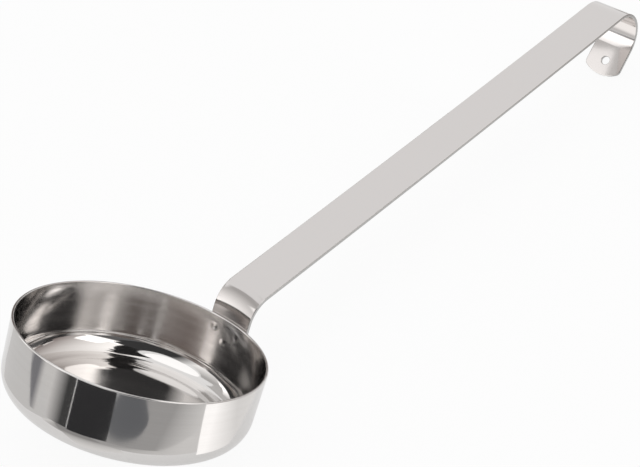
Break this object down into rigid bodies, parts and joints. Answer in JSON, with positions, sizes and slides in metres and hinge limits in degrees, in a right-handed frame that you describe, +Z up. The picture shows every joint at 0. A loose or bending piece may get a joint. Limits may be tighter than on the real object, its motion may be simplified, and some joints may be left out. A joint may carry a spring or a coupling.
{
  "type": "sauce spoon",
  "caption": "Flat-bottomed stainless steel sauce spoon: a shallow round drawn bowl, and a long strip handle spot-welded outside its wall and curled into a hanging hook.",
  "frame": {"origin": "on the table, under the middle of the bounding box of the spoon as it lies by itself", "axes": "+X from the bowl along the handle to the hook, +Z up from the table, XZ is the plane of symmetry"},
  "size_m": [0.3674, 0.098, 0.0699],
  "materials": {
    "bowl_steel": "mirror polish with fine turning lines",
    "handle_steel": "satin",
    "weld_steel": "as welded"
  },
  "bodies": {
    "root": {"bowl": "bowl_steel", "handle": "handle_steel", "spot_weld_left": "weld_steel", "spot_weld_right": "weld_steel", "spot_weld_lower": "weld_steel"}
  },
  "joints": []
}
